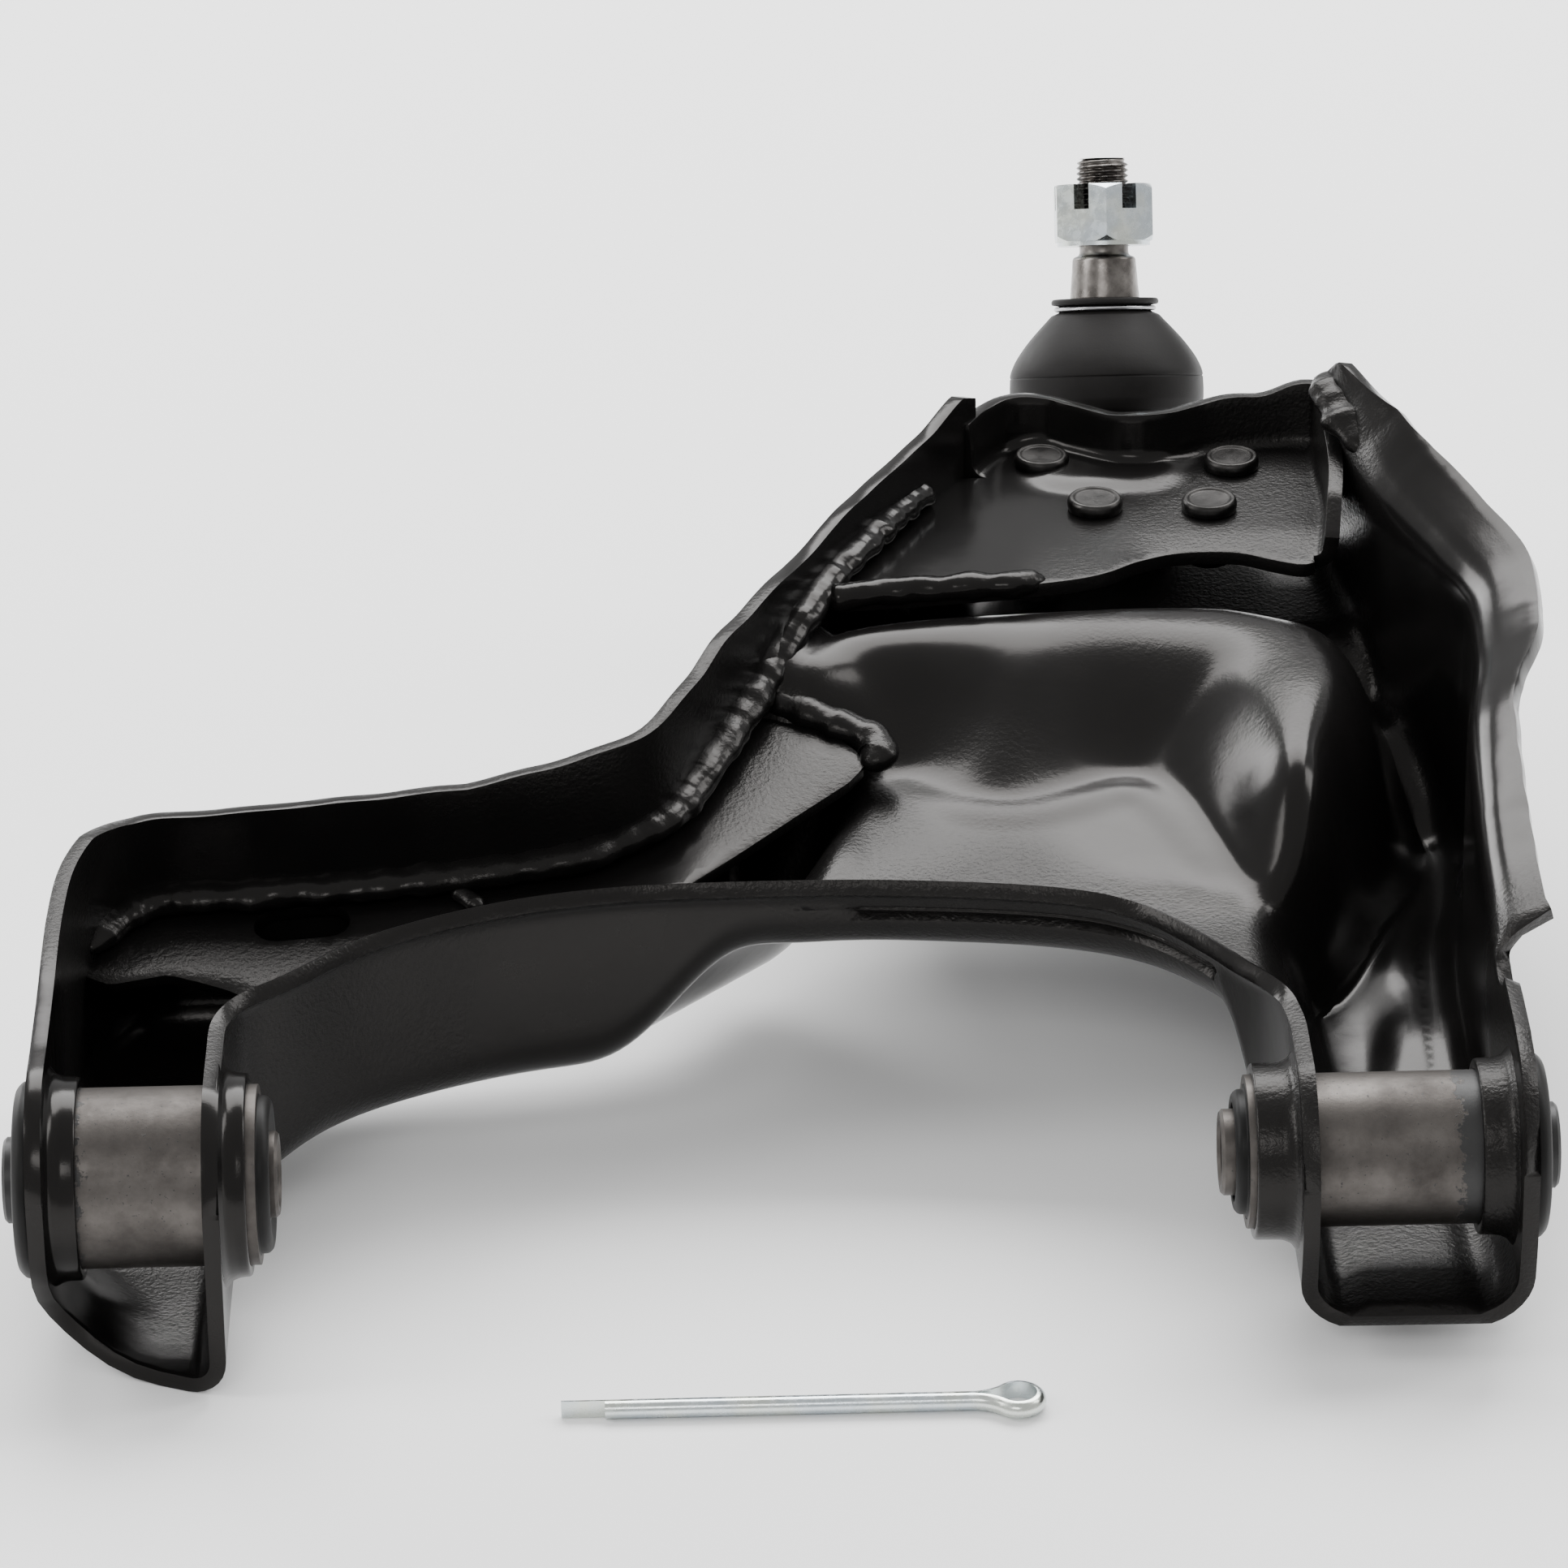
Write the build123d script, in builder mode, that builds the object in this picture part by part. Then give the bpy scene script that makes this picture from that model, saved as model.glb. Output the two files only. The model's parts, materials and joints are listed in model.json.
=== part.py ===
"""Stamped steel lower control arm with two coaxial rubber bushes and a riveted ball joint.

Frame: X runs along the pivot axis of the bushes, Y runs outboard to the ball joint,
Z is the normal of the ball joint plate. The origin lies on the pivot axis, midway
between the two brackets. Millimetres throughout.
"""
import os
from math import atan2, cos, radians, sin, tan

from build123d import *

# ---- driving dimensions -------------------------------------------------------------
sheet = 3.2                  # pressed steel thickness
bracket_x = 144.4            # centre line of the outer bracket walls
inner_left_x = -110.6        # centre line of the inner wall at the large bush
inner_right_x = 102.0        # centre line of the inner wall at the small bush
bracket_front_y = -24.0
bracket_floor_z = -32.0      # top of the sheet under the large bush
small_bracket_floor_z = -26.5    # top of the sheet under the small bush
leg_floor_z = -20.0          # top of the sheet in the legs
web_floor_z = 5.0            # top of the sheet behind the arch
inner_wall_top_z = 22.0
plate_z = 35.6               # top of the ball joint plate
leg_plate_slope = 13.0       # the leg plate falls towards the large bush by this angle

large_sleeve_od = 35.4
small_sleeve_od = 30.2
sleeve_wall = 1.8
pivot_tube_od = 17.0
pivot_bore = 12.2
running_gap = 0.05           # radial clearance of the rubber on the pivot tube
large_span = (-146.0, -102.2)
small_span = (90.8, 146.0)
large_tube_span = (-152.0, -98.4)
small_tube_span = (85.8, 152.0)

ball_centre = (82.0, 295.0, 15.0)
stud_lean = 24.5             # stud and housing axis lean outboard from the plate normal
joint_turn = -4.0            # the rivet rows are turned this much about Z
ball_d = 27.0
thread_d = 12.0
stud_end = 69.6              # from the ball centre to the end of the thread
nut_seat = 49.5
nut_height = 14.1
nut_flats = 22.0
slot_width = 3.8
slot_depth = 5.8
cotter_hole_d = 4.0
cotter_hole_at = 60.4

housing_r = 20.6
rivet_shank_d = 8.0
rivet_head_d = 12.0
rivet_head_h = 3.0
rivet_rows = ((-48.3, 21.2, 6.6), (-71.1, 12.6, 10.2))   # inboard of the ball, half spacing, offset

pin_d = 3.6
pin_length = 94.0
ground_z = bracket_floor_z - sheet

os.makedirs("parts", exist_ok=True)


def save(builder, name):
    """Label a finished piece and write it as one STEP file."""
    builder.part.label = name
    export_step(builder.part, f"parts/{name}.step")


def side_slab(outline, axis_plane, reach=400):
    """A long prism whose section is the outline, for trimming a plan shape from the side."""
    with BuildPart() as slab:
        with BuildSketch(axis_plane):
            with BuildLine():
                Polyline(*outline, close=True)
            make_face()
        extrude(amount=reach, both=True)
    return slab.part


def strip_outline(points, thickness):
    """Close a run of points downwards into a strip of constant vertical thickness."""
    return list(points) + [(a, b - thickness) for a, b in reversed(points)]


# Plan lines, all on the middle of the sheet.
outer_left_points = [
    (-bracket_x, bracket_front_y), (-bracket_x, 98), (-36, 106), (48, 249),
]
outer_right_points = [
    (bracket_x, bracket_front_y), (bracket_x, 104), (154, 160), (130, 238), (127, 250),
]
inner_points = [
    (inner_right_x, bracket_front_y), (inner_right_x, 44), (66, 78), (-40, 78), (-98, 49),
    (inner_left_x, 30), (inner_left_x, bracket_front_y),
]
outer_left_radii = [30, 38]
outer_right_radii = [60, 50, 20]
inner_radii = [28, 40, 60, 14, 8]

# Side profiles. The first of each pair is the plan coordinate, the second is Z.
floor_by_x = [
    (-190, leg_floor_z), (-46, leg_floor_z), (0, web_floor_z), (88, web_floor_z),
    (103, leg_floor_z), (190, leg_floor_z),
]
table_far_y = 187.0
nose_floor_z = 16.0          # top of the sheet at the ball joint end


def floor_by_y(bracket_z):
    """Side profile of the floor's top face, from the bracket front to the ball joint end."""
    return [
        (bracket_front_y - 1, bracket_z), (22, bracket_z), (46, leg_floor_z), (150, leg_floor_z),
        (table_far_y, web_floor_z), (262, nose_floor_z),
    ]


def underside_by_y(bracket_z):
    """Side profile of the floor's underside."""
    return [(y, z - sheet) for y, z in floor_by_y(bracket_z)]


left_wall_side = underside_by_y(bracket_floor_z) + [
    (262, 54), (200, 49), (148, 44), (100, 30), (60, 28), (-4, 26), (bracket_front_y - 1, 12),
]
right_wall_side = underside_by_y(small_bracket_floor_z) + [
    (262, 62), (238, 61.5), (204, 56), (117, 42), (46, 31), (-4, 24), (bracket_front_y - 1, 12),
]
lip_by_y = [(42, 31), (117, 42), (204, 56), (236, 61)]


def wall(points, radii):
    """A vertical sheet wall standing on a filleted plan line."""
    with BuildPart() as band:
        with BuildSketch(Plane.XY.offset(-60)):
            with BuildLine():
                FilletPolyline(*points, radius=radii)
            trace(line_width=sheet)
        extrude(amount=140)
    return band.part


def pan_prism(lower, upper):
    """The plan area between the inner and outer walls as a prism from lower to upper."""
    with BuildPart() as prism:
        with BuildSketch(Plane.XY.offset(lower)):
            with BuildLine():
                outer_left = FilletPolyline(*outer_left_points, radius=outer_left_radii)
                outer_right = FilletPolyline(*outer_right_points, radius=outer_right_radii)
                inner = FilletPolyline(*inner_points, radius=inner_radii)
                Line(outer_left @ 1, outer_right @ 1)
                Line(outer_right @ 0, inner @ 0)
                Line(inner @ 1, outer_left @ 0)
            make_face()
        extrude(amount=upper - lower)
    return prism.part


def x_ring(outer_d, inner_d, span):
    """A plain tube along X between two X positions."""
    with BuildPart() as ring:
        with BuildSketch(Plane.YZ.offset(span[0])):
            Circle(outer_d / 2)
            Circle(inner_d / 2, mode=Mode.SUBTRACT)
        extrude(amount=span[1] - span[0])
    return ring.part


# ---- main shell -------------------------------------------------------------------
plan_area = pan_prism(-60, 80)
side_plane = Plane((0, 0, 0), x_dir=(1, 0, 0), z_dir=(0, -1, 0))
above_web_floor = [
    (-190, -60), (-120, -60), (-99, leg_floor_z - sheet - 4), (-46, leg_floor_z - sheet),
    (0, web_floor_z - sheet), (88, web_floor_z - sheet), (99, -60), (190, -60),
    (190, 90), (-190, 90),
]
outer_left_wall = wall(outer_left_points, outer_left_radii) & side_slab(left_wall_side, Plane.YZ)
outer_left_wall = outer_left_wall & side_slab(above_web_floor, side_plane)
outer_right_wall = wall(outer_right_points, outer_right_radii) & side_slab(right_wall_side, Plane.YZ)



def half_prism(side):
    """Everything on one side of the YZ plane: -1 the large bush's side, 1 the small bush's."""
    with BuildPart() as half:
        with Locations((side * 100, 120, 0)):
            Box(200, 400, 400)
    return half.part


def inner_wall_half(side, bracket_z):
    """The inner wall on one side, standing on that bracket's floor."""
    front = [
        (bracket_front_y, bracket_z - sheet), (22, bracket_z - sheet), (46, leg_floor_z - sheet),
        (120, leg_floor_z - sheet), (120, inner_wall_top_z), (-4, inner_wall_top_z),
        (bracket_front_y, 10),
    ]
    half = wall(inner_points, inner_radii) & side_slab(front, Plane.YZ) & half_prism(side)
    return half & side_slab(above_web_floor, side_plane)


inner_walls = [
    inner_wall_half(-1, bracket_floor_z), inner_wall_half(1, small_bracket_floor_z),
]

web_floor = plan_area & side_slab(strip_outline(floor_by_x, sheet), side_plane)
end_floors = [
    plan_area & side_slab(strip_outline(floor_by_y(bracket_z), sheet), Plane.YZ) & half_prism(side)
    for side, bracket_z in ((-1, bracket_floor_z), (1, small_bracket_floor_z))
]
bracket_depth = 46.0         # the bracket floors reach this far outboard of the pivot axis
table_front_y = 98.0
web_end_y = table_far_y - sheet

with BuildPart() as web_region:
    with BuildSketch(Plane.XY.offset(-60)):
        with BuildLine():
            Polyline(
                (-190, bracket_depth), (190, bracket_depth), (190, 150), (104, 150),
                (104, web_end_y), (-190, web_end_y), close=True,
            )
        make_face()
    extrude(amount=140)
with BuildPart() as end_regions:
    with BuildSketch(Plane.XY.offset(-60)):
        with BuildLine():
            Polyline(
                (-190, bracket_front_y), (190, bracket_front_y), (190, bracket_depth),
                (-190, bracket_depth), close=True,
            )
        make_face()
        with BuildLine():
            Polyline(
                (190, 150), (190, 270), (-190, 270), (-190, web_end_y), (104, web_end_y),
                (104, 150), close=True,
            )
        make_face()
    extrude(amount=140)

# The raised table that stiffens the middle of the pressing, open underneath.
table_corners = [(28, table_front_y), (118, table_front_y), (118, table_far_y), (8, table_far_y)]
table_top_z = 31.0
with BuildPart() as table:
    with BuildSketch(Plane.XY.offset(leg_floor_z - sheet)) as table_plan:
        with BuildLine():
            Polyline(*table_corners, close=True)
        make_face()
        fillet(table_plan.vertices(), 18)
    extrude(amount=table_top_z - leg_floor_z + sheet, taper=5)
    fillet(table.faces().sort_by(Axis.Z)[-1].edges(), 8)
    table_outside = table.part
    offset(amount=-sheet, openings=table.faces().sort_by(Axis.Z)[0])
above_floor = strip_outline(floor_by_x, sheet)[len(floor_by_x):] + [(-190, 90), (190, 90)]
above_underside = underside_by_y(bracket_floor_z) + [(262, 90), (bracket_front_y - 1, 90)]
table_shell = table.part & side_slab(above_floor, side_plane) & side_slab(above_underside, Plane.YZ)

# A flared lip along the top of the outboard right wall.
lip_width = 9.0
with BuildPart() as lip_plan:
    with BuildSketch(Plane.XY.offset(-60)):
        with BuildLine():
            FilletPolyline(*outer_right_points, radius=outer_right_radii)
        trace(line_width=2 * lip_width)
    extrude(amount=140)
with BuildPart() as outside_of_pan:
    with BuildSketch(Plane.XY.offset(-60)):
        with Locations((0, 120)):
            Rectangle(400, 400)
    extrude(amount=140)
    add(plan_area, mode=Mode.SUBTRACT)
lip = lip_plan.part & side_slab(strip_outline(lip_by_y, sheet), Plane.YZ) & outside_of_pan.part

collar_wall = 2.2
collars = (
    (large_sleeve_od, (-bracket_x - sheet / 2, -136.8)),
    (large_sleeve_od, (inner_left_x - sheet / 2, -104.0)),
    (small_sleeve_od, (92.0, inner_right_x + sheet / 2)),
    (small_sleeve_od, (136.0, bracket_x + sheet / 2)),
)

with BuildPart() as main_shell:
    add(outer_left_wall)
    add(outer_right_wall)
    add(inner_walls)
    add(web_floor & web_region.part)
    add([end_floor & end_regions.part for end_floor in end_floors])
    add(table_outside, mode=Mode.SUBTRACT)
    add(table_shell)
    add(lip)
    for sleeve_od, span in collars:
        add(x_ring(sleeve_od + 2 * collar_wall, sleeve_od, span))
    for sleeve_od, span in collars:
        middle = sum(span) / 2
        with Locations(Location((middle, 0, 0), (0, 90, 0))):
            Cylinder(sleeve_od / 2, 16, mode=Mode.SUBTRACT)
save(main_shell, "main_shell")


# ---- plates welded into the shell -------------------------------------------------
leg_plate_edge_y = 74.0
leg_plate_edge_z = 3.6


def leg_plate_height(y):
    """Height of the leg plate's top face at a given Y."""
    return leg_plate_edge_z + (y - leg_plate_edge_y) * tan(radians(leg_plate_slope))


leg_plate_side = strip_outline([(60, leg_plate_height(60)), (230, leg_plate_height(230))], sheet)
with BuildPart() as leg_plate:
    with BuildSketch(Plane.XY.offset(-60)):
        with BuildLine():
            Polyline(
                (-150, leg_plate_edge_y), (-124, leg_plate_edge_y + 3), (-104, leg_plate_edge_y - 4),
                (-88, 50), (-48, 70), (-8, 107), (8, 121), (17, 134), (9, 148), (1, 160), (-3, 172),
                (-60, 172), (-150, 120), close=True,
            )
        make_face()
        with Locations((-97, 92)):
            SlotOverall(19, 9, rotation=8, mode=Mode.SUBTRACT)
    extrude(amount=140)
    add(plan_area, mode=Mode.INTERSECT)
    add(side_slab(leg_plate_side, Plane.YZ), mode=Mode.INTERSECT)
    add(main_shell.part, mode=Mode.SUBTRACT)
    add(table_outside, mode=Mode.SUBTRACT)
save(leg_plate, "leg_plate")

# The plan frame of the ball joint: its origin under the ball, -Y running inboard.
joint_plan = Plane((ball_centre[0], ball_centre[1], 0), x_dir=(1, 0, 0)).rotated((0, 0, joint_turn))
rivet_spots = [
    (offset_x + side * half, inboard) for inboard, half, offset_x in rivet_rows for side in (-1, 1)
]
far_flange_points = [(46, 243), (58, 257), (72, 253), (84, 248), (96, 251), (107, 256.5), (126, 258)]
plate_under_z = plate_z - sheet

with BuildPart() as ball_joint_plate:
    with BuildSketch(Plane.XY.offset(plate_under_z)):
        with BuildLine():
            far_line = Spline(*far_flange_points)
            Polyline(
                far_line @ 1, (126, 197), (117, 194), (108, 201), (88, 202), (76, 192), (62, 187),
                (14, 179), (-4, 179), (-4, 243), far_line @ 0,
            )
        make_face()
    extrude(amount=sheet)
    add(plan_area, mode=Mode.INTERSECT)
    with BuildSketch(Plane.XY.offset(plate_under_z)):
        with BuildLine():
            Spline(*far_flange_points)
        trace(line_width=sheet)
    extrude(amount=48 - plate_under_z)
    with BuildSketch(Plane.XY.offset(plate_under_z)):
        with BuildLine():
            Line((126, 198), (126, 252))
        trace(line_width=sheet)
    extrude(amount=9)
    with BuildSketch(joint_plan.offset(plate_under_z - 1)):
        with Locations(*rivet_spots):
            Circle(rivet_shank_d / 2)
    extrude(amount=sheet + 2, mode=Mode.SUBTRACT)
    add(main_shell.part, mode=Mode.SUBTRACT)
    add(leg_plate.part, mode=Mode.SUBTRACT)
save(ball_joint_plate, "ball_joint_plate")

# ---- weld beads ---------------------------------------------------------------------
bead = 5.0
bead_side = [
    (leg_plate_edge_y, leg_plate_height(leg_plate_edge_y)), (176, leg_plate_height(176)),
    (177, plate_z), (238, plate_z), (238, plate_z + bead), (177, plate_z + bead),
    (leg_plate_edge_y, leg_plate_height(leg_plate_edge_y) + bead),
]
with BuildPart() as outer_weld:
    with BuildSketch(Plane.XY.offset(-60)):
        with BuildLine():
            FilletPolyline(*outer_left_points, radius=outer_left_radii)
        trace(line_width=sheet + 2 * bead)
    extrude(amount=140)
    add(plan_area, mode=Mode.INTERSECT)
    add(side_slab(bead_side, Plane.YZ), mode=Mode.INTERSECT)
    for neighbour in (main_shell, leg_plate, ball_joint_plate):
        add(neighbour.part, mode=Mode.SUBTRACT)
save(outer_weld, "outer_weld")


def bead_along(points, radius, neighbours):
    """A round bead laid along a smooth line, less whatever it is melted onto."""
    with BuildPart() as run:
        with BuildLine() as seam:
            Spline(*points)
        with BuildSketch(Plane(origin=seam.line @ 0, z_dir=seam.line % 0)):
            Circle(radius)
        sweep()
        for neighbour in neighbours:
            add(neighbour.part, mode=Mode.SUBTRACT)
    return run


shell_and_plates = (main_shell, leg_plate, ball_joint_plate)
table_weld = bead_along(
    [(12, 180, 34.5), (36, 184, 34.5), (62, 189, 34.5)], 3.6, shell_and_plates + (outer_weld,),
)
save(table_weld, "table_weld")
leg_plate_weld = bead_along(
    [(4, 160, leg_plate_height(160) + 1.5), (11, 149, leg_plate_height(149) + 1.5),
     (17, 137, leg_plate_height(137) + 1.5)],
    3.2, shell_and_plates + (outer_weld,),
)
save(leg_plate_weld, "leg_plate_weld")
corner_weld = bead_along([(129, 236, 40), (129, 243, 50), (128, 250, 56)], 4.5, shell_and_plates)
save(corner_weld, "corner_weld")

# ---- bushes -------------------------------------------------------------------------
bushes = {
    "large": (large_sleeve_od, large_span, large_tube_span, 38.7, -1, 31.0),
    "small": (small_sleeve_od, small_span, small_tube_span, 36.6, 1, 24.6),
}
rubber_flange = 3.4
rubber_nose = 2.6
for size, (od, span, tube_span, flange_d, outboard, nose_d) in bushes.items():
    with BuildPart() as outer_sleeve:
        add(x_ring(od, od - 2 * sleeve_wall, span))
        add(main_shell.part, mode=Mode.SUBTRACT)
    save(outer_sleeve, f"{size}_bush_sleeve")

    outer_end, inner_end = span if outboard < 0 else span[::-1]
    hole_d = pivot_tube_od + 2 * running_gap
    with BuildPart() as rubber:
        add(x_ring(od - 2 * sleeve_wall, hole_d, span))
        add(x_ring(flange_d, hole_d, sorted((outer_end, outer_end + outboard * rubber_flange))))
        add(x_ring(nose_d, hole_d, sorted((inner_end, inner_end - outboard * rubber_nose))))
        rim = rubber.faces().sort_by(Axis.X)[0 if outboard < 0 else -1].edges().sort_by(Edge.length)[-1]
        fillet(rim, 1.6)
        add(outer_sleeve.part, mode=Mode.SUBTRACT)
    save(rubber, f"{size}_bush_rubber")

    with BuildPart() as tube:
        add(x_ring(pivot_tube_od, pivot_bore, tube_span))
        chamfer(tube.edges().filter_by(GeomType.CIRCLE), 0.6)
    save(tube, f"{size}_bush_pivot_tube")

# ---- ball joint ---------------------------------------------------------------------
lean = radians(stud_lean)
stud_direction = (0, sin(lean), cos(lean))
stud_axis = Axis(ball_centre, stud_direction)
stud_plane = Plane(ball_centre, x_dir=(1, 0, 0), z_dir=stud_direction)
profile_plane = Plane(ball_centre, x_dir=(1, 0, 0), z_dir=(0, -cos(lean), sin(lean)))
ball_r = ball_d / 2


def turned(profile):
    """A body of revolution about the stud axis, from (radius, height) points."""
    with BuildPart() as body:
        with BuildSketch(profile_plane):
            with BuildLine():
                Polyline(*profile, close=True)
            make_face()
        revolve(axis=stud_axis)
    return body.part


ball_flat = -12.0
neck_r = 6.6
neck_start = (ball_r**2 - neck_r**2) ** 0.5
with BuildPart() as ball_stud:
    with BuildSketch(profile_plane):
        with BuildLine():
            flat_r = (ball_r**2 - ball_flat**2) ** 0.5
            Line((0, ball_flat), (flat_r, ball_flat))
            ThreePointArc((flat_r, ball_flat), (ball_r, 0), (neck_r, neck_start))
            Polyline(
                (neck_r, neck_start), (neck_r, 33), (8.0, 37.5), (7.25, 46.9), (5.65, 47.4),
                (5.65, 50.4), (thread_d / 2, 51), (thread_d / 2, stud_end - 1), (5, stud_end),
                (0, stud_end), (0, ball_flat),
            )
        make_face()
    revolve(axis=stud_axis)
    with Locations(stud_plane.offset(cotter_hole_at) * Location((0, 0, 0), (0, 90, 0))):
        Cylinder(cotter_hole_d / 2, 30, mode=Mode.SUBTRACT)
save(ball_stud, "ball_stud")

cavity_r = 16.2
cover_r = 18.2
mouth_r = 12.4
seat_top = 6.0
cover_seat = -15.2
housing_top = 11.0
housing_bottom = -18.8
with BuildPart() as ball_joint_housing:
    with BuildSketch(joint_plan.offset(plate_under_z)):
        with BuildLine():
            Polyline(
                (-11, -80), (31, -80), (37, -54), (37, -40), (26, -34), (-16, -34), (-24, -40),
                (-24, -54), close=True,
            )
        make_face()
        with Locations(*rivet_spots):
            Circle(rivet_shank_d / 2, mode=Mode.SUBTRACT)
    extrude(amount=-6)
    with BuildSketch(Plane(joint_plan.origin, x_dir=joint_plan.y_dir, z_dir=joint_plan.x_dir)):
        with BuildLine():
            Polyline(
                (-44, plate_under_z), (-32, plate_under_z), (-22, 30), (-12, 24), (-8, 4),
                (-20, 2), (-29, 12), (-38, plate_under_z - 7), close=True,
            )
        make_face()
    extrude(amount=15, both=True)
    add(turned([
        (0, housing_bottom), (housing_r, housing_bottom), (housing_r, 8), (18.8, housing_top),
        (0, housing_top),
    ]))
    add(turned([
        (0, -40), (cover_r, -40), (cover_r, cover_seat), (cavity_r, cover_seat), (cavity_r, seat_top),
        (mouth_r, seat_top), (mouth_r + 2.4, 14), (0, 14),
    ]), mode=Mode.SUBTRACT)
save(ball_joint_housing, "ball_joint_housing")

with BuildPart() as ball_seat:
    add(turned([(0, -11.4), (cavity_r - 0.05, -11.4), (cavity_r - 0.05, seat_top), (0, seat_top)]))
    with Locations(ball_centre):
        Sphere(ball_r + 0.05, mode=Mode.SUBTRACT)
save(ball_seat, "ball_seat")

with BuildPart() as preload_washer:
    add(turned([(5, -14.6), (5, -13.7), (15.6, -14.2), (15.6, -15.1)]))
save(preload_washer, "preload_washer")

with BuildPart() as housing_cover:
    add(turned([
        (0, -18.4), (9, -18.4), (12, -17.6), (cover_r - 0.1, -17.6), (cover_r - 0.1, cover_seat),
        (0, cover_seat),
    ]))
save(housing_cover, "housing_cover")

boot_outline = [
    (19.4, 10.2), (21.6, 11.4), (22.4, 15.8), (22.3, 19.3), (21.8, 21), (19.2, 25.7), (15.2, 30.4),
    (12.7, 33.6), (10.4, 34.4), (10.4, 35.7), (12.2, 35.9), (12.2, 37.3), (8.4, 37.3),
]
boot_inside = [
    (8.4, 34), (11.2, 32.6), (13.8, 29.2), (17.6, 24.8), (20.1, 20.2), (20.6, 16), (19.4, 12.6),
]
with BuildPart() as dust_boot:
    add(turned(boot_outline + boot_inside))
    add(ball_joint_housing.part, mode=Mode.SUBTRACT)
save(dust_boot, "dust_boot")

with BuildPart() as boot_clip_ring:
    add(turned([(10.5, 34.5), (11.3, 34.5), (11.3, 35.6), (10.5, 35.6)]))
save(boot_clip_ring, "boot_clip_ring")

with BuildPart() as castle_nut:
    with BuildSketch(stud_plane.offset(nut_seat)):
        Circle(nut_flats / 2 - 0.3)
    extrude(amount=1)
    with BuildSketch(stud_plane.offset(nut_seat + 1)):
        RegularPolygon(nut_flats / 2, 6, major_radius=False, rotation=30)
    extrude(amount=nut_height - 1)
    crown_r = nut_flats / 2 / cos(radians(30))
    nut_top = nut_seat + nut_height
    add(turned([
        (0, nut_seat), (nut_flats / 2 - 0.3, nut_seat), (crown_r, nut_seat + 2.2),
        (crown_r, nut_top - 1.2), (nut_flats / 2, nut_top), (0, nut_top),
    ]), mode=Mode.INTERSECT)
    with BuildSketch(stud_plane.offset(nut_seat - 1)):
        Circle(thread_d / 2 + 0.05)
    extrude(amount=nut_height + 2, mode=Mode.SUBTRACT)
    with BuildSketch(stud_plane.offset(nut_top - slot_depth)):
        with PolarLocations(0, 3, angular_range=180):
            Rectangle(2 * nut_flats, slot_width)
    extrude(amount=slot_depth + 1, mode=Mode.SUBTRACT)
save(castle_nut, "castle_nut")

with BuildPart() as ball_joint_rivets:
    with BuildSketch(joint_plan.offset(plate_under_z - 6)):
        with Locations(*rivet_spots):
            Circle(rivet_shank_d / 2)
    extrude(amount=6 + sheet)
    with BuildSketch(joint_plan.offset(plate_z)):
        with Locations(*rivet_spots):
            Circle(rivet_head_d / 2)
    extrude(amount=rivet_head_h)
    with BuildSketch(joint_plan.offset(plate_under_z - 6)):
        with Locations(*rivet_spots):
            Circle(rivet_head_d / 2)
    extrude(amount=-rivet_head_h)
    chamfer(ball_joint_rivets.edges().filter_by(GeomType.CIRCLE).group_by(Axis.Z)[0], 1.2)
save(ball_joint_rivets, "ball_joint_rivets")

# ---- cotter pin, lying loose on the ground in front of the brackets -------------------
pin_y = -36.0
pin_left_x = -44.0
pin_z = ground_z + pin_d / 2
eye_r = 3.6                  # inside radius of the eye
flare_r = 10.0               # inside radius of the bend from each leg into the eye
eye_x = pin_left_x + pin_length - eye_r - pin_d / 2
long_leg_extra = 8.5
leg_gap = 0.1                # half the gap between the flats of the two legs
flare_to_eye = ((eye_r + flare_r) ** 2 - (leg_gap + flare_r) ** 2) ** 0.5
flare_x = eye_x - flare_to_eye
eye_share = eye_r / (eye_r + flare_r)
blend_x = eye_x - flare_to_eye * eye_share
blend_y = (leg_gap + flare_r) * eye_share
flare_angle = atan2(flare_to_eye, leg_gap + flare_r) / 2
flare_mid = (flare_x + flare_r * sin(flare_angle), leg_gap + flare_r * (1 - cos(flare_angle)))
with BuildPart() as cotter_pin:
    with BuildLine(Plane((0, pin_y, pin_z))) as bent_wire:
        Line((pin_left_x, leg_gap), (flare_x, leg_gap))
        ThreePointArc((flare_x, leg_gap), flare_mid, (blend_x, blend_y))
        ThreePointArc((blend_x, blend_y), (eye_x + eye_r, 0), (blend_x, -blend_y))
        ThreePointArc((blend_x, -blend_y), (flare_mid[0], -flare_mid[1]), (flare_x, -leg_gap))
        Line((flare_x, -leg_gap), (pin_left_x + long_leg_extra, -leg_gap))
    with BuildSketch(Plane.YZ.offset(pin_left_x)):
        with Locations((pin_y + leg_gap, pin_z)):
            Circle(pin_d / 2)
        with Locations((pin_y + leg_gap - pin_d, pin_z)):
            Rectangle(2 * pin_d, 2 * pin_d, mode=Mode.SUBTRACT)
    sweep(path=bent_wire.line)
save(cotter_pin, "cotter_pin")
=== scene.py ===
"""Looks for a pressed steel lower control arm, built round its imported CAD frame.

Lengths in the helpers below are millimetres; make_object() turns them into metres.
"""
import json
import math

import bmesh
import bpy
import numpy as np
from mathutils import Matrix, Vector, noise
from mathutils.geometry import delaunay_2d_cdt


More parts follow.
